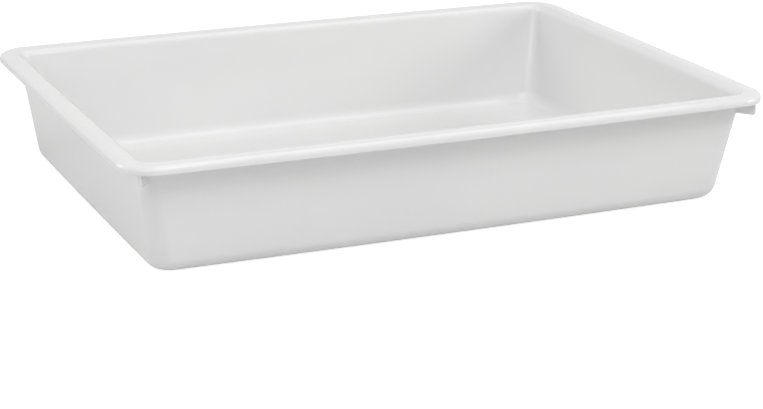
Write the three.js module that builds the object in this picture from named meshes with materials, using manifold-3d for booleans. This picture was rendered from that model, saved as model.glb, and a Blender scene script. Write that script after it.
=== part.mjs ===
// A deep developing tray, moulded in one piece: a flat floor, four drafted walls whose long sides
// bow outwards a little, a rolled rim with a turned-down lip, and a gusset under each rim corner.
// Millimetres, +Z up, +X along the length. The origin is the centre of the underside.

import * as THREE from 'three';
import { mergeVertices } from 'three/addons/utils/BufferGeometryUtils.js';
import Module from 'manifold-3d';

const wasm = await Module();
wasm.setup();

// Overall sizes
const TRAY_LENGTH = 400;
const TRAY_WIDTH = 292.3;
const TRAY_HEIGHT = 68.3;
const WALL = 2.2;

// Outward bow at the middle of each side
const SIDE_BOW = 1.5;
const END_BOW = 0.5;

// Walls: how far they lean out, and their outer corner radius where they meet the floor
const END_DRAFT = THREE.MathUtils.degToRad(7.2);
const SIDE_DRAFT = THREE.MathUtils.degToRad(8.8);
const WALL_CORNER_RADIUS_LOW = 12.6;
const FLOOR_EDGE_RADIUS = 9.8;

// Rim, measured inwards from its outer edge and down from its top
const RIM_CORNER_RADIUS = 21.2;
const RIM_OVERHANG = 12.2;
const RIM_OUTER_RADIUS = 3.2;
const RIM_INNER_RADIUS = 5.4;
const LIP_DEPTH = 4.9;
const LIP_EDGE_RADIUS = 0.6;

// Gussets, upright plates across the corners under the rim
const GUSSET_THICKNESS = 2.2;
const GUSSET_DEPTH = 12.6;
const GUSSET_END_INSET = 2;
const GUSSET_TIP_RADIUS = 1;

// Moulding gate in the underside: a shallow round recess with a nub left inside it
const GATE_RADIUS = 5;
const GATE_DEPTH = 0.6;
const GATE_NUB_RADIUS = 1.3;
const GATE_NUB_HEIGHT = 0.35;

// Smoothness
const CORNER_STEPS = 8;
const SIDE_STEPS = 6;
const END_STEPS = 2;
const EDGE_STEPS = 5;
const UNDERSIDE_STEPS = 3;
const LIP_EDGE_STEPS = 2;
const GUSSET_ARC_STEPS = 4;
const GATE_STEPS = 24;

// How far the gate's cutter and nub reach past the faces they cut or stand on
const OVERLAP = 0.5;

const quarter = Math.PI / 2;
const meanDraft = (END_DRAFT + SIDE_DRAFT) / 2;

// Height of the wall's top line, where the rim's overhang is measured
const wallTop = TRAY_HEIGHT - RIM_INNER_RADIUS;

// Inset of the outer wall face from the rim's outer edge, at a height, for a lean angle
function wallInset(z, draft) {
  return RIM_OVERHANG + (wallTop - z) * Math.tan(draft);
}

// Outer corner radius of the wall at a height: it follows the rim at the top and widens downwards
function wallCornerRadius(z) {
  const top = RIM_CORNER_RADIUS - RIM_OVERHANG;
  const share = (wallTop - z) / (wallTop - FLOOR_EDGE_RADIUS);
  return top + (WALL_CORNER_RADIUS_LOW - top) * THREE.MathUtils.clamp(share, 0, 1);
}

// A ring is a rounded rectangle at one height, given by its two insets and its corner radius
function ring(endInset, sideInset, cornerRadius, z) {
  return { endInset, sideInset, cornerRadius, z };
}

// A ring of the rim: it runs parallel to the rim's outer edge
function rimRing(inset, z) {
  return ring(inset, inset, RIM_CORNER_RADIUS - inset, z);
}

// Rings round the lower edge, from the flat floor up to the wall, on the outside or offset inwards
function floorEdgeRings(offset) {
  const rings = [];
  for (let i = 0; i <= EDGE_STEPS; i += 1) {
    rings.push(floorEdgeRing(offset, i / EDGE_STEPS));
  }
  return rings;
}

// Under the edge the corner tightens by half of what the ring moves in
function floorEdgeRing(offset, share) {
  const radius = FLOOR_EDGE_RADIUS - offset;
  const end = floorEdgeInset(radius, share, END_DRAFT);
  const side = floorEdgeInset(radius, share, SIDE_DRAFT);
  const turn = share * (quarter - meanDraft);
  const z = FLOOR_EDGE_RADIUS - radius * Math.cos(turn);
  const tightening = radius * (1 - Math.sin(turn)) / 2;
  return ring(end, side, WALL_CORNER_RADIUS_LOW - offset - tightening, z);
}

// The edge's arc is tangent to the wall, so its centre lies inwards of the wall by its radius
function floorEdgeInset(radius, share, draft) {
  const turn = share * (quarter - draft);
  const meets = FLOOR_EDGE_RADIUS * (1 - Math.sin(draft));
  const centre = wallInset(meets, draft) + FLOOR_EDGE_RADIUS * Math.cos(draft);
  return centre - radius * Math.sin(turn);
}

// Rings round an arc of the rim, from one angle to another, measured from straight up, inwards
function rimArcRings(centreInset, centreZ, radius, fromAngle, toAngle, steps) {
  const rings = [];
  for (let i = 0; i <= steps; i += 1) {
    const angle = fromAngle + (toAngle - fromAngle) * i / steps;
    rings.push(rimRing(centreInset + radius * Math.sin(angle), centreZ + radius * Math.cos(angle)));
  }
  return rings;
}

// The rim's inner edge and its underside share one centre, so the wall keeps its thickness there,
// and both arcs end where they are parallel to the leaning wall
const innerEdgeInset = RIM_OVERHANG + WALL - RIM_INNER_RADIUS;
const innerEdgeTurn = quarter - meanDraft;

// Rings round the lower edge of the lip, from its inner face to its outer face
function lipRings() {
  const bottom = TRAY_HEIGHT - LIP_DEPTH;
  const edge = LIP_EDGE_RADIUS;
  return [
    ...rimArcRings(WALL - edge, bottom + edge, edge, quarter, 2 * quarter, LIP_EDGE_STEPS),
    ...rimArcRings(edge, bottom + edge, edge, 2 * quarter, 3 * quarter, LIP_EDGE_STEPS),
  ];
}

// Rings from the wall's outer face, along the rim's underside, round the lip and back over the top
function rimRings() {
  const outer = RIM_OUTER_RADIUS;
  const inner = RIM_INNER_RADIUS;
  const outerZ = TRAY_HEIGHT - outer;
  const innerZ = TRAY_HEIGHT - inner;
  return [
    ...rimArcRings(innerEdgeInset, innerZ, inner - WALL, innerEdgeTurn, 0, UNDERSIDE_STEPS),
    ...rimArcRings(outer, outerZ, outer - WALL, 0, -quarter, UNDERSIDE_STEPS),
    ...lipRings(),
    ...rimArcRings(outer, outerZ, outer, -quarter, 0, EDGE_STEPS),
    ...rimArcRings(innerEdgeInset, innerZ, inner, 0, innerEdgeTurn, EDGE_STEPS),
  ];
}

// All the rings: from under the floor, up the outside, over the rim, and down to the floor inside
function trayRings() {
  return [
    ...floorEdgeRings(0),
    ...rimRings(),
    ...floorEdgeRings(WALL).reverse(),
  ];
}

// One bowed side between two corner ends, without its last point
function sidePoints(from, to, outwards, bow, steps) {
  const middle = from.clone().add(to).multiplyScalar(0.5).addScaledVector(outwards, 2 * bow);
  const side = new THREE.QuadraticBezierCurve(from, middle, to);
  return side.getPoints(steps).slice(0, -1);
}

// The points of a ring, counter-clockwise, starting where the +X end meets the corner beside +Y
function ringPoints({ endInset, sideInset, cornerRadius, z }) {
  const halfLength = TRAY_LENGTH / 2 - END_BOW - endInset;
  const halfWidth = TRAY_WIDTH / 2 - SIDE_BOW - sideInset;
  const points = [];
  for (let corner = 0; corner < 4; corner += 1) {
    const start = corner * quarter;
    const arc = cornerArc(halfLength, halfWidth, cornerRadius, start);
    const next = cornerArc(halfLength, halfWidth, cornerRadius, start + quarter);
    const isLong = corner % 2 === 0;
    const outwards = new THREE.Vector2(Math.cos(start + quarter), Math.sin(start + quarter));
    const bow = isLong ? SIDE_BOW : END_BOW;
    const steps = isLong ? SIDE_STEPS : END_STEPS;
    points.push(...arc.getPoints(CORNER_STEPS).slice(0, -1));
    points.push(...sidePoints(arc.getPoint(1), next.getPoint(0), outwards, bow, steps));
  }
  return points.map((point) => new THREE.Vector3(point.x, point.y, z));
}

// The quarter arc of one corner, from the angle it starts at
function cornerArc(halfLength, halfWidth, radius, start) {
  const x = Math.sign(Math.cos(start + quarter / 2)) * (halfLength - radius);
  const y = Math.sign(Math.sin(start + quarter / 2)) * (halfWidth - radius);
  return new THREE.EllipseCurve(x, y, radius, radius, start, start + quarter);
}

// A closed skin through all the rings, with a fan closing each end on the middle line
function skin(rings) {
  const loops = rings.map(ringPoints);
  const count = loops[0].length;
  const first = loops[0][0].z;
  const last = loops[loops.length - 1][0].z;
  const corners = [new THREE.Vector3(0, 0, first), ...loops.flat(), new THREE.Vector3(0, 0, last)];
  const lastCorner = corners.length - 1;
  const faces = [];
  for (let i = 0; i < count; i += 1) {
    const j = (i + 1) % count;
    faces.push(0, 1 + j, 1 + i);
    for (let k = 0; k + 1 < loops.length; k += 1) {
      const low = 1 + k * count;
      const high = low + count;
      faces.push(low + i, low + j, high + j);
      faces.push(low + i, high + j, high + i);
    }
    faces.push(lastCorner, lastCorner - count + i, lastCorner - count + j);
  }
  const geometry = new THREE.BufferGeometry().setFromPoints(corners);
  geometry.setIndex(faces);
  return geometry;
}

// A gusset's plane follows the walls' leaning corner edge, so it stands a little off 45 degrees
const gussetAngle = Math.atan2(Math.tan(SIDE_DRAFT), Math.tan(END_DRAFT));

// Outline of a gusset, with x outwards from the centre of the rim's corner and y upwards
function gussetOutline() {
  const bottom = TRAY_HEIGHT - GUSSET_DEPTH;
  const top = TRAY_HEIGHT - WALL / 2;
  const end = RIM_CORNER_RADIUS - GUSSET_END_INSET;
  const arcX = RIM_CORNER_RADIUS - innerEdgeInset;
  const arcRadius = RIM_INNER_RADIUS - WALL / 2;
  const outline = new THREE.Shape();
  outline.moveTo(midWallAtCorner(bottom), bottom);
  outline.lineTo(end - GUSSET_TIP_RADIUS, bottom);
  outline.absarc(end - GUSSET_TIP_RADIUS, bottom + GUSSET_TIP_RADIUS, GUSSET_TIP_RADIUS, -quarter, 0);
  outline.lineTo(end, top);
  outline.absarc(arcX, wallTop, arcRadius, quarter, 2 * quarter);
  return outline;
}

// Where the middle of the wall lies on a gusset's plane, from the centre of the rim's corner
function midWallAtCorner(z) {
  const radius = wallCornerRadius(z);
  const endShift = wallInset(z, END_DRAFT) + radius - RIM_CORNER_RADIUS;
  const sideShift = wallInset(z, SIDE_DRAFT) + radius - RIM_CORNER_RADIUS;
  return radius - Math.hypot(endShift, sideShift) - WALL / 2;
}

// The gusset of one corner, chosen by the signs of its x and y
function gusset(xSign, ySign) {
  const geometry = new THREE.ExtrudeGeometry(gussetOutline(), {
    depth: GUSSET_THICKNESS,
    bevelEnabled: false,
    curveSegments: GUSSET_ARC_STEPS,
  });
  geometry.translate(0, 0, -GUSSET_THICKNESS / 2);
  geometry.rotateX(quarter);
  geometry.rotateZ(Math.atan2(ySign * Math.sin(gussetAngle), xSign * Math.cos(gussetAngle)));
  const x = xSign * (TRAY_LENGTH / 2 - END_BOW - RIM_CORNER_RADIUS);
  const y = ySign * (TRAY_WIDTH / 2 - SIDE_BOW - RIM_CORNER_RADIUS);
  return geometry.translate(x, y, 0);
}

// A short round pin standing on the plane z = bottom
function upright(radius, bottom, top) {
  const geometry = new THREE.CylinderGeometry(radius, radius, top - bottom, GATE_STEPS);
  geometry.rotateX(quarter);
  return geometry.translate(0, 0, (bottom + top) / 2);
}

// A solid from a closed geometry, its corners joined by position
function solidOf(geometry) {
  geometry.deleteAttribute('normal');
  geometry.deleteAttribute('uv');
  const merged = mergeVertices(geometry);
  const mesh = new wasm.Mesh({
    numProp: 3,
    vertProperties: merged.attributes.position.array,
    triVerts: Uint32Array.from(merged.index.array),
  });
  return new wasm.Manifold(mesh);
}

// The drawable geometry of a solid
function geometryOf(solid) {
  const mesh = solid.getMesh();
  const geometry = new THREE.BufferGeometry();
  geometry.setAttribute('position', new THREE.BufferAttribute(mesh.vertProperties, 3));
  geometry.setIndex(new THREE.BufferAttribute(mesh.triVerts, 1));
  geometry.computeVertexNormals();
  return geometry;
}

function trayGeometry() {
  let solid = solidOf(skin(trayRings()));
  for (const xSign of [-1, 1]) {
    for (const ySign of [-1, 1]) {
      solid = solid.add(solidOf(gusset(xSign, ySign)));
    }
  }
  const recess = solidOf(upright(GATE_RADIUS, -OVERLAP, GATE_DEPTH));
  const nub = solidOf(upright(GATE_NUB_RADIUS, GATE_DEPTH - GATE_NUB_HEIGHT, GATE_DEPTH + OVERLAP));
  return geometryOf(solid.subtract(recess).add(nub));
}

const whitePlastic = new THREE.MeshStandardMaterial({ color: 0xe9e9e8, roughness: 0.28, metalness: 0 });
const tray = new THREE.Mesh(trayGeometry(), whitePlastic);
tray.name = 'tray';

const developingTray = new THREE.Group();
developingTray.add(tray);

export default developingTray;
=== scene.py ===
# The developing tray's looks: a fine mesh of the one-piece white plastic moulding in place of its
# CAD node, on a plain pale floor under soft studio light. Metres, +Z up, the frame of the CAD model.

import math

import bmesh
import bpy
from mathutils import Matrix, Vector


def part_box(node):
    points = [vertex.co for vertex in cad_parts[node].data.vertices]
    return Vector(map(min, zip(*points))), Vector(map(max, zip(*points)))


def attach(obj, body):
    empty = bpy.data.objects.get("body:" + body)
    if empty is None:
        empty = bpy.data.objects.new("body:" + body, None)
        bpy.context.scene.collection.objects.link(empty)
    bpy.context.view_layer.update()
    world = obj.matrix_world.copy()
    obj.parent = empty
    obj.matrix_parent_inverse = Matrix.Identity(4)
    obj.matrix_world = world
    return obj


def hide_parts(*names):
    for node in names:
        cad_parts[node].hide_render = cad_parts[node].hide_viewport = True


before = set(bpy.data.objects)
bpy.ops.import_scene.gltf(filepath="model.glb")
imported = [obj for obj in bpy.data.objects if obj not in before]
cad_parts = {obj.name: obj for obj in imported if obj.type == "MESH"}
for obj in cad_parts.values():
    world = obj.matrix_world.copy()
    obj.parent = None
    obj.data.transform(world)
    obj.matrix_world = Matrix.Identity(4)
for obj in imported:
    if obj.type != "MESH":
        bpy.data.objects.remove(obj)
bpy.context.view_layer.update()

MM = 0.001
QUARTER = math.pi / 2

# Overall sizes, from the CAD node's box
tray_low, tray_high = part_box("tray")
TRAY_LENGTH = tray_high.x - tray_low.x
TRAY_WIDTH = tray_high.y - tray_low.y
TRAY_HEIGHT = tray_high.z - tray_low.z

# Walls and floor
WALL = 2.2 * MM
SIDE_BOW = 1.5 * MM
END_BOW = 0.5 * MM
END_DRAFT = math.radians(7.2)
SIDE_DRAFT = math.radians(8.8)
MEAN_DRAFT = (END_DRAFT + SIDE_DRAFT) / 2
WALL_CORNER_RADIUS_LOW = 12.6 * MM
FLOOR_EDGE_RADIUS = 9.8 * MM

# Rim, measured inwards from its outer edge and down from its top
RIM_CORNER_RADIUS = 21.2 * MM
RIM_OVERHANG = 12.2 * MM
RIM_OUTER_RADIUS = 3.2 * MM
RIM_INNER_RADIUS = 5.4 * MM
LIP_DEPTH = 4.9 * MM
LIP_EDGE_RADIUS = 0.6 * MM
WALL_TOP = TRAY_HEIGHT - RIM_INNER_RADIUS
INNER_EDGE_INSET = RIM_OVERHANG + WALL - RIM_INNER_RADIUS
INNER_EDGE_TURN = QUARTER - MEAN_DRAFT

# Gussets, upright plates under the rim's corners. A gusset's plane follows the walls' leaning
# corner edge, so it stands a little off 45 degrees
GUSSET_ANGLE = math.atan2(math.tan(SIDE_DRAFT), math.tan(END_DRAFT))
GUSSET_THICKNESS = 2.2 * MM
GUSSET_DEPTH = 12.6 * MM
GUSSET_END_INSET = 2 * MM
GUSSET_TIP_RADIUS = 1 * MM
GUSSET_EDGE_RADIUS = 0.5 * MM
GUSSET_ROOT_FILLET = 0.9 * MM

# Moulding gate in the underside: a shallow round recess with a nub left inside it
GATE_RADIUS = 5 * MM
GATE_DEPTH = 0.6 * MM
GATE_EDGE = 0.15 * MM
GATE_NUB_RADIUS = 1.3 * MM
GATE_NUB_HEIGHT = 0.35 * MM
GATE_SURROUNDS = (GATE_RADIUS * 1.3, GATE_RADIUS * 2.5)

# Smoothness of the mesh
CORNER_STEPS = 20
SIDE_STEPS = 48
END_STEPS = 32
EDGE_STEPS = 12
WALL_STEPS = 12
RIM_STEPS = 8
RIM_TOP_STEPS = 4
LIP_STEPS = 3
LIP_EDGE_STEPS = 5
LIP_BOTTOM_STEPS = 2
GUSSET_STEPS = 16
GUSSET_CLOSE_SHARES = [0, 0.01, 0.03, 0.06, 0.1]
PANEL_SHARES = [0.99, 0.96, 0.9, 0.8, 0.7, 0.6, 0.5, 0.4, 0.3, 0.2]
FLOOR_MIDDLE_SHARES = [0.1, 0.03]

# Camera: the view direction, the point it looks at, and its distance from there
CAMERA_AZIMUTH = math.radians(23.914)
CAMERA_ELEVATION = math.radians(18.023)
CAMERA_ROLL = math.radians(0.44)
CAMERA_AIM = Vector((5.62, -8.29, -16.3)) * MM
CAMERA_DISTANCE = 1.271
CAMERA_LENS = 95.786
CAMERA_SENSOR = 36


# --- Camera

def make_camera():
    azimuth, elevation = CAMERA_AZIMUTH, CAMERA_ELEVATION
    back = Vector((
        -math.sin(azimuth) * math.cos(elevation),
        -math.cos(azimuth) * math.cos(elevation),
        math.sin(elevation),
    ))
    right = Vector((0, 0, 1)).cross(back).normalized()
    rolled = Matrix.Rotation(CAMERA_ROLL, 3, back) @ right
    data = bpy.data.cameras.new("camera")
    data.lens = CAMERA_LENS
    data.sensor_width = CAMERA_SENSOR
    camera = bpy.data.objects.new("camera", data)
    turn = Matrix((rolled, back.cross(rolled), back)).transposed()
    camera.matrix_world = Matrix.Translation(CAMERA_AIM + back * CAMERA_DISTANCE) @ turn.to_4x4()
    bpy.context.scene.collection.objects.link(camera)
    bpy.context.scene.camera = camera


# --- Shell of the tray, as loops of points from the underside round over the rim to the floor

# Inset of the outer wall face from the rim's outer edge, at a height, for a lean angle
def wall_inset(z, draft):
    return RIM_OVERHANG + (WALL_TOP - z) * math.tan(draft)


# Outer corner radius of the wall at a height: it follows the rim at the top and widens downwards
def wall_corner_radius(z):
    top = RIM_CORNER_RADIUS - RIM_OVERHANG
    share = (WALL_TOP - z) / (WALL_TOP - FLOOR_EDGE_RADIUS)
    return top + (WALL_CORNER_RADIUS_LOW - top) * min(max(share, 0), 1)


# A ring is a rounded rectangle: its insets at the ends and sides, its corner radius and its height
def rim_ring(inset, z):
    return (inset, inset, RIM_CORNER_RADIUS - inset, z)


def rim_arc(inset, z, radius, start, end, steps):
    angles = [start + (end - start) * i / steps for i in range(steps + 1)]
    return [rim_ring(inset + radius * math.sin(a), z + radius * math.cos(a)) for a in angles]


# The edge's arc is tangent to the wall, so its centre lies inwards of the wall by its radius
def floor_edge_inset(radius, share, draft):
    meets = FLOOR_EDGE_RADIUS * (1 - math.sin(draft))
    centre = wall_inset(meets, draft) + FLOOR_EDGE_RADIUS * math.cos(draft)
    return centre - radius * math.sin(share * (QUARTER - draft))


def floor_edge_ring(offset, share):
    radius = FLOOR_EDGE_RADIUS - offset
    turn = share * (QUARTER - MEAN_DRAFT)
    tightening = radius * (1 - math.sin(turn)) / 2
    return (
        floor_edge_inset(radius, share, END_DRAFT),
        floor_edge_inset(radius, share, SIDE_DRAFT),
        WALL_CORNER_RADIUS_LOW - offset - tightening,
        FLOOR_EDGE_RADIUS - radius * math.cos(turn),
    )


def floor_edge(offset):
    return [floor_edge_ring(offset, i / EDGE_STEPS) for i in range(EDGE_STEPS + 1)]


# Rings between two others, closer together near them
def between(first, last, steps):
    shares = [(1 - math.cos(math.pi * i / steps)) / 2 for i in range(1, steps)]
    return [tuple(a + (b - a) * s for a, b in zip(first, last)) for s in shares]


def joined(runs, steps):
    rings = list(runs[0])
    for run, count in zip(runs[1:], steps):
        rings += between(rings[-1], run[0], count) + run
    return rings


# Between the arcs lie the walls, the rim's flat top, the lip's faces and the lip's narrow bottom
def shell_rings():
    across = [WALL_STEPS, RIM_TOP_STEPS, LIP_STEPS, LIP_BOTTOM_STEPS, LIP_STEPS, RIM_TOP_STEPS, WALL_STEPS]
    outer, inner = RIM_OUTER_RADIUS, RIM_INNER_RADIUS
    outer_z, inner_z = TRAY_HEIGHT - outer, TRAY_HEIGHT - inner
    lip, edge = TRAY_HEIGHT - LIP_DEPTH, LIP_EDGE_RADIUS
    turned = 2 * QUARTER
    return joined([
        floor_edge(0),
        rim_arc(INNER_EDGE_INSET, inner_z, inner - WALL, INNER_EDGE_TURN, 0, RIM_STEPS),
        rim_arc(outer, outer_z, outer - WALL, 0, -QUARTER, RIM_STEPS),
        rim_arc(WALL - edge, lip + edge, edge, QUARTER, turned, LIP_EDGE_STEPS),
        rim_arc(edge, lip + edge, edge, turned, turned + QUARTER, LIP_EDGE_STEPS),
        rim_arc(outer, outer_z, outer, -QUARTER, 0, EDGE_STEPS),
        rim_arc(INNER_EDGE_INSET, inner_z, inner, 0, INNER_EDGE_TURN, EDGE_STEPS),
        floor_edge(WALL)[::-1],
    ], across)


# The points of a ring, counter-clockwise, starting where the +X end meets the corner beside +Y
def ring_points(ring):
    end_inset, side_inset, radius, z = ring
    half_length = TRAY_LENGTH / 2 - END_BOW - end_inset
    half_width = TRAY_WIDTH / 2 - SIDE_BOW - side_inset
    centres = [
        Vector((x * (half_length - radius), y * (half_width - radius), z))
        for x, y in ((1, 1), (-1, 1), (-1, -1), (1, -1))
    ]
    points = []
    for corner in range(4):
        start = corner * QUARTER
        for i in range(CORNER_STEPS):
            angle = start + QUARTER * i / CORNER_STEPS
            points.append(centres[corner] + radius * Vector((math.cos(angle), math.sin(angle), 0)))
        outwards = Vector((math.cos(start + QUARTER), math.sin(start + QUARTER), 0))
        along = centres[(corner + 1) % 4] - centres[corner]
        bow, steps = ((SIDE_BOW, SIDE_STEPS), (END_BOW, END_STEPS))[corner % 2]
        for i in range(steps):
            share = i / steps
            arch = radius + 4 * bow * share * (1 - share)
            points.append(centres[corner] + along * share + outwards * arch)
    return points


# Loops over a flat panel, from its edge in to its middle
def panel_loops(edge, shares, z):
    return [[Vector((p.x * share, p.y * share, z)) for p in edge] for share in shares]


def circle_loop(edge, radius, z):
    flat = [Vector((p.x, p.y, 0)).normalized() for p in edge]
    return [direction * radius + Vector((0, 0, z)) for direction in flat]


# The gate, from the nub's tip out to the flat underside
def gate_loops(edge):
    nub = GATE_DEPTH - GATE_NUB_HEIGHT
    nub_loops = [
        (GATE_NUB_RADIUS * 0.5, nub),
        (GATE_NUB_RADIUS * 0.85, nub + GATE_EDGE / 3),
        (GATE_NUB_RADIUS, nub + GATE_EDGE),
        (GATE_NUB_RADIUS + GATE_EDGE / 2, GATE_DEPTH - GATE_EDGE / 2),
        (GATE_NUB_RADIUS + GATE_EDGE, GATE_DEPTH),
    ]
    recess = [
        (GATE_RADIUS - 2 * GATE_EDGE, GATE_DEPTH),
        (GATE_RADIUS - GATE_EDGE, GATE_DEPTH - GATE_EDGE / 3),
        (GATE_RADIUS - GATE_EDGE / 2, GATE_DEPTH - GATE_EDGE),
        (GATE_RADIUS, GATE_EDGE),
        (GATE_RADIUS + GATE_EDGE / 2, GATE_EDGE / 3),
        (GATE_RADIUS + 1.5 * GATE_EDGE, 0),
    ]
    surrounds = [(radius, 0) for radius in GATE_SURROUNDS]
    return [circle_loop(edge, radius, z) for radius, z in nub_loops + recess + surrounds]


def shell_mesh():
    loops = [ring_points(ring) for ring in shell_rings()]
    under, floor = loops[0], loops[-1]
    below = panel_loops(under, PANEL_SHARES, 0)[::-1]
    above = panel_loops(floor, PANEL_SHARES + FLOOR_MIDDLE_SHARES, WALL)
    loops = gate_loops(under) + below + loops + above
    mesh = bmesh.new()
    rows = [[mesh.verts.new(point) for point in loop] for loop in loops]
    first = mesh.verts.new((0, 0, loops[0][0].z))
    last = mesh.verts.new((0, 0, WALL))
    count = len(under)
    for i in range(count):
        j = (i + 1) % count
        mesh.faces.new((first, rows[0][j], rows[0][i]))
        mesh.faces.new((last, rows[-1][i], rows[-1][j]))
        for low, high in zip(rows, rows[1:]):
            mesh.faces.new((low[i], low[j], high[j], high[i]))
    return mesh


# --- Gussets

# Where the middle of the wall lies on a gusset's plane, from the centre of the rim's corner
def mid_wall_at_corner(z):
    radius = wall_corner_radius(z)
    end_shift = wall_inset(z, END_DRAFT) + radius - RIM_CORNER_RADIUS
    side_shift = wall_inset(z, SIDE_DRAFT) + radius - RIM_CORNER_RADIUS
    return radius - math.hypot(end_shift, side_shift) - WALL / 2


def arc_points(x, z, radius, start, end):
    angles = [start + (end - start) * i / GUSSET_STEPS for i in range(GUSSET_STEPS + 1)]
    return [Vector((x + radius * math.cos(a), z + radius * math.sin(a))) for a in angles]


# The point a share of the way along a line of points
def along(points, share):
    lengths = [(b - a).length for a, b in zip(points, points[1:])]
    left = share * sum(lengths)
    for a, b, length in zip(points, points[1:], lengths):
        if left <= length:
            return a.lerp(b, left / length)
        left -= length
    return points[-1]


def nearest(point, line):
    return min((point - point_on_segment(point, a, b)).length for a, b in zip(line, line[1:]))


def point_on_segment(point, a, b):
    share = (point - a).dot(b - a) / (b - a).length_squared
    return a.lerp(b, min(max(share, 0), 1))


# The four edges of a gusset, with x outwards from the centre of the rim's corner and y upwards
def gusset_edges():
    bottom = TRAY_HEIGHT - GUSSET_DEPTH
    top = TRAY_HEIGHT - WALL / 2
    end = RIM_CORNER_RADIUS - GUSSET_END_INSET
    arc_x = RIM_CORNER_RADIUS - INNER_EDGE_INSET
    arc_radius = RIM_INNER_RADIUS - WALL / 2
    tip = arc_points(end - GUSSET_TIP_RADIUS, bottom + GUSSET_TIP_RADIUS, GUSSET_TIP_RADIUS, -QUARTER, 0)
    lower = [Vector((mid_wall_at_corner(bottom), bottom))] + tip
    upper = arc_points(arc_x, WALL_TOP, arc_radius, 2 * QUARTER, QUARTER) + [Vector((end, top))]
    wall_side = [lower[0], upper[0]]
    free_end = [lower[-1], upper[-1]]
    return lower, upper, wall_side, free_end


# Height of a quarter round above the line it runs into, at a gap from where it starts
def quarter_round(gap, radius):
    left = radius - min(max(gap, 0), radius)
    return radius - math.sqrt(radius ** 2 - left ** 2)


# Half the gusset's thickness at a point: it flares at its root and rounds off at its free edges
def half_thickness(point, root, free):
    flare = quarter_round(nearest(point, root) - WALL / 2, GUSSET_ROOT_FILLET)
    rounding = quarter_round(nearest(point, free), GUSSET_EDGE_RADIUS)
    return GUSSET_THICKNESS / 2 + flare - rounding


# Shares along a gusset, close together near both ends
def gusset_shares():
    close = GUSSET_CLOSE_SHARES
    start = close[-1]
    middle = [start + (1 - 2 * start) * i / GUSSET_STEPS for i in range(1, GUSSET_STEPS)]
    return close + middle + [1 - share for share in close[::-1]]


# A closed plate on the plane y = 0, standing outwards along +X from the corner's centre
def gusset_mesh():
    lower, upper, wall_side, free_end = gusset_edges()
    root = wall_side[:1] + upper
    free = lower + [free_end[1]]
    mesh = bmesh.new()
    shares = gusset_shares()
    sides = []
    grid = [[None] * len(shares) for _ in shares]
    for i, u in enumerate(shares):
        for j, w in enumerate(shares):
            a, b = along(lower, u), along(upper, u)
            c, d = along(wall_side, w), along(free_end, w)
            corners = lower[0].lerp(lower[-1], u).lerp(upper[0].lerp(upper[-1], u), w)
            grid[i][j] = a.lerp(b, w) + c.lerp(d, u) - corners
    for sign in (-1, 1):
        rows = []
        for column in grid:
            points = [(point.x, sign * half_thickness(point, root, free), point.y) for point in column]
            rows.append([mesh.verts.new(point) for point in points])
        sides.append(rows)
    last = len(shares) - 1
    for i in range(last):
        for j in range(last):
            for rows, order in ((sides[0], 1), (sides[1], -1)):
                face = (rows[i][j], rows[i + 1][j], rows[i + 1][j + 1], rows[i][j + 1])
                mesh.faces.new(face[::order])
    border = [(i, 0) for i in range(last)] + [(last, j) for j in range(last)]
    border += [(i, last) for i in range(last, 0, -1)] + [(0, j) for j in range(last, 0, -1)]
    for (i, j), (k, m) in zip(border, border[1:] + border[:1]):
        mesh.faces.new((sides[0][k][m], sides[0][i][j], sides[1][i][j], sides[1][k][m]))
    return mesh


def gussets_mesh():
    whole = bmesh.new()
    part = bpy.data.meshes.new("gusset")
    one = gusset_mesh()
    one.to_mesh(part)
    one.free()
    for x, y in ((1, 1), (-1, 1), (-1, -1), (1, -1)):
        start = len(whole.verts)
        whole.from_mesh(part)
        whole.verts.ensure_lookup_table()
        angle = math.atan2(y * math.sin(GUSSET_ANGLE), x * math.cos(GUSSET_ANGLE))
        turn = Matrix.Rotation(angle, 4, "Z")
        centre = Vector((
            x * (TRAY_LENGTH / 2 - END_BOW - RIM_CORNER_RADIUS),
            y * (TRAY_WIDTH / 2 - SIDE_BOW - RIM_CORNER_RADIUS),
            0,
        ))
        for vert in whole.verts[start:]:
            vert.co = turn @ vert.co + centre
    bpy.data.meshes.remove(part)
    return whole


# --- The moulding

SHARP_ANGLE = math.radians(38)
MERGE_DISTANCE = 0.001 * MM


def object_of(name, mesh):
    bmesh.ops.recalc_face_normals(mesh, faces=mesh.faces)
    data = bpy.data.meshes.new(name)
    mesh.to_mesh(data)
    mesh.free()
    made = bpy.data.objects.new(name, data)
    bpy.context.scene.collection.objects.link(made)
    return made


def smooth_but_for_sharp_edges(data):
    mesh = bmesh.new()
    mesh.from_mesh(data)
    bmesh.ops.remove_doubles(mesh, verts=mesh.verts, dist=MERGE_DISTANCE)
    bmesh.ops.recalc_face_normals(mesh, faces=mesh.faces)
    for face in mesh.faces:
        face.smooth = True
    for edge in mesh.edges:
        edge.smooth = edge.calc_face_angle(0) < SHARP_ANGLE
    mesh.to_mesh(data)
    mesh.free()


def make_moulding():
    shell = object_of("tray_moulding", shell_mesh())
    plates = object_of("gussets", gussets_mesh())
    union = shell.modifiers.new("union", "BOOLEAN")
    union.operation = "UNION"
    union.solver = "EXACT"
    union.object = plates
    graph = bpy.context.evaluated_depsgraph_get()
    joined_mesh = bpy.data.meshes.new_from_object(shell.evaluated_get(graph))
    shell.modifiers.clear()
    shell.data = joined_mesh
    bpy.data.objects.remove(plates)
    smooth_but_for_sharp_edges(joined_mesh)
    return shell


# --- Materials

PLASTIC_DARKER = (0.815, 0.818, 0.816, 1)
PLASTIC_PALER = (0.838, 0.838, 0.834, 1)
PLASTIC_IOR = 1.49


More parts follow.
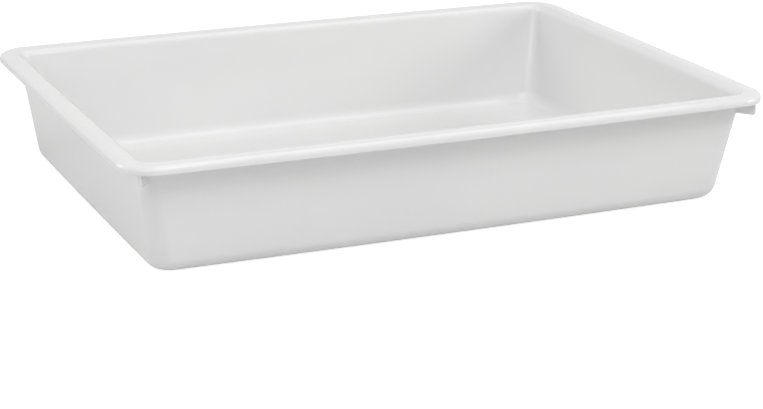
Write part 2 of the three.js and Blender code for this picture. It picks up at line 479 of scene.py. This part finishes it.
class Nodes:
    """Adds nodes to a material or world and links them."""

    def __init__(self, tree):
        self.tree = tree
        tree.nodes.clear()

    def add(self, kind, settings=None, **inputs):
        node = self.tree.nodes.new(kind)
        for name, value in (settings or {}).items():
            setattr(node, name, value)
        for name, value in inputs.items():
            self.put(node, name.replace("_", " "), value)
        return node

    def put(self, node, socket, value):
        target = node.inputs[socket]
        if isinstance(value, bpy.types.NodeSocket):
            self.tree.links.new(value, target)
        else:
            target.default_value = value

    def ramp(self, value, low, high, low_colour, high_colour):
        node = self.add("ShaderNodeValToRGB", Fac=value)
        ends = node.color_ramp.elements
        ends[0].position, ends[1].position = low, high
        ends[0].color, ends[1].color = low_colour, high_colour
        return node.outputs["Color"]

    def range(self, value, from_low, from_high, to_low, to_high):
        node = self.add("ShaderNodeMapRange", Value=value)
        for name, number in (("From Min", from_low), ("From Max", from_high),
                             ("To Min", to_low), ("To Max", to_high)):
            self.put(node, name, number)
        return node.outputs["Result"]

    def maths(self, operation, first, second):
        node = self.add("ShaderNodeMath", {"operation": operation})
        self.put(node, 0, first)
        self.put(node, 1, second)
        return node.outputs["Value"]

    def noise(self, vector, scale, detail):
        node = self.add("ShaderNodeTexNoise", Vector=vector, Scale=scale, Detail=detail)
        return node.outputs["Fac"]


def grey(value):
    return (value, value, value, 1)


# Glossy white moulding, with a faint unevenness of tone, gloss and surface
def white_plastic():
    material = bpy.data.materials.new("white_plastic")
    material.use_nodes = True
    nodes = Nodes(material.node_tree)
    place = nodes.add("ShaderNodeTexCoord").outputs["Object"]
    cloud = nodes.noise(place, scale=9, detail=3)
    colour = nodes.ramp(cloud, 0.3, 0.7, PLASTIC_DARKER, PLASTIC_PALER)
    patches = nodes.noise(place, scale=40, detail=4)
    roughness = nodes.range(patches, 0.3, 0.7, 0.05, 0.08)
    waves = nodes.noise(place, scale=14, detail=1)
    skin = nodes.noise(place, scale=900, detail=2)
    coarse = nodes.add("ShaderNodeBump", Height=waves, Strength=0.15, Distance=0.15 * MM)
    fine = nodes.add("ShaderNodeBump", Height=skin, Strength=0.1, Distance=0.006 * MM,
                     Normal=coarse.outputs["Normal"])
    shader = nodes.add("ShaderNodeBsdfPrincipled", Base_Color=colour, Roughness=roughness,
                       IOR=PLASTIC_IOR, Normal=fine.outputs["Normal"])
    nodes.add("ShaderNodeOutputMaterial", Surface=shader.outputs["BSDF"])
    return material


# --- Stage and light

FLOOR_SIZE = 12
FLOOR_CELLS = 8
FLOOR_COLOUR = 0.86
FLOOR_GLOW = 0.8
FLOOR_SHOWN = 0.45
FLOOR_GLOSS_SHARE = 0.3
WORLD_LIGHT = 0.12

# Softboxes: azimuth from the front towards +X and elevation in degrees, distance, width, depth, power
SOFTBOXES = {
    "front_softbox": (350, 50, 1.6, 1.0, 0.6, 8),
    "overhead_softbox": (90, 75, 1.6, 1.2, 1.2, 7.5),
    "corner_softbox": (312, 25, 1.8, 1.2, 0.8, 4.8),
    "left_softbox": (240, 20, 1.8, 0.9, 0.6, 6.8),
    "high_left_softbox": (275, 50, 1.6, 1.2, 0.8, 2.4),
    "right_softbox": (63, 20, 1.8, 0.9, 0.6, 8.9),
    "back_softbox": (180, 55, 1.6, 1.2, 0.8, 0.5),
}


# How far a ray sees the pale background: whole for the camera, in shares for gloss and glass
def seen_share(nodes, gloss_share):
    path = nodes.add("ShaderNodeLightPath").outputs
    either = nodes.maths("MAXIMUM", path["Is Glossy Ray"], path["Is Transmission Ray"])
    return nodes.maths("MAXIMUM", path["Is Camera Ray"], nodes.maths("MULTIPLY", either, gloss_share))


# Lit, the floor is a plain pale surface. Seen, it is close to white and keeps part of the shadow
def floor_material():
    material = bpy.data.materials.new("floor")
    material.use_nodes = True
    nodes = Nodes(material.node_tree)
    place = nodes.add("ShaderNodeTexCoord").outputs["Object"]
    paper = nodes.noise(place, scale=60, detail=3)
    colour = nodes.ramp(paper, 0.3, 0.7, grey(FLOOR_COLOUR - 0.01), grey(FLOOR_COLOUR))
    lit = nodes.add("ShaderNodeBsdfDiffuse", Color=colour)
    pale = nodes.add("ShaderNodeBsdfDiffuse", Color=grey(FLOOR_SHOWN))
    glow = nodes.add("ShaderNodeEmission", Color=grey(FLOOR_GLOW))
    shown = nodes.add("ShaderNodeAddShader")
    nodes.put(shown, 0, pale.outputs["BSDF"])
    nodes.put(shown, 1, glow.outputs["Emission"])
    mix = nodes.add("ShaderNodeMixShader", Fac=seen_share(nodes, FLOOR_GLOSS_SHARE))
    nodes.put(mix, 1, lit.outputs["BSDF"])
    nodes.put(mix, 2, shown.outputs["Shader"])
    nodes.add("ShaderNodeOutputMaterial", Surface=mix.outputs["Shader"])
    return material


def make_floor():
    mesh = bmesh.new()
    bmesh.ops.create_grid(mesh, x_segments=FLOOR_CELLS, y_segments=FLOOR_CELLS, size=FLOOR_SIZE / 2)
    floor = object_of("floor", mesh)
    floor.location.z = tray_low.z
    floor.data.materials.append(floor_material())


# The world lights faintly and shows as white
def make_world():
    world = bpy.data.worlds.new("studio")
    world.use_nodes = True
    bpy.context.scene.world = world
    nodes = Nodes(world.node_tree)
    strength = nodes.range(seen_share(nodes, 1), 0, 1, WORLD_LIGHT, 1)
    background = nodes.add("ShaderNodeBackground", Color=grey(1), Strength=strength)
    nodes.add("ShaderNodeOutputWorld", Surface=background.outputs["Background"])


def make_softbox(name, azimuth, elevation, distance, width, depth, power):
    data = bpy.data.lights.new(name, "AREA")
    data.shape = "RECTANGLE"
    data.size, data.size_y = width, depth
    data.energy = power
    lamp = bpy.data.objects.new(name, data)
    around, up = math.radians(azimuth), math.radians(elevation)
    towards = Vector((math.sin(around) * math.cos(up), -math.cos(around) * math.cos(up), math.sin(up)))
    lamp.location = towards * distance
    lamp.rotation_euler = (-towards).to_track_quat("-Z", "Y").to_euler()
    lamp.visible_camera = False
    bpy.context.scene.collection.objects.link(lamp)


bpy.context.scene.view_settings.view_transform = "Standard"
make_camera()
moulding = make_moulding()
moulding.data.materials.append(white_plastic())
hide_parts("tray")
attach(moulding, "root")
make_floor()
make_world()
for name, facts in SOFTBOXES.items():
    make_softbox(name, *facts)
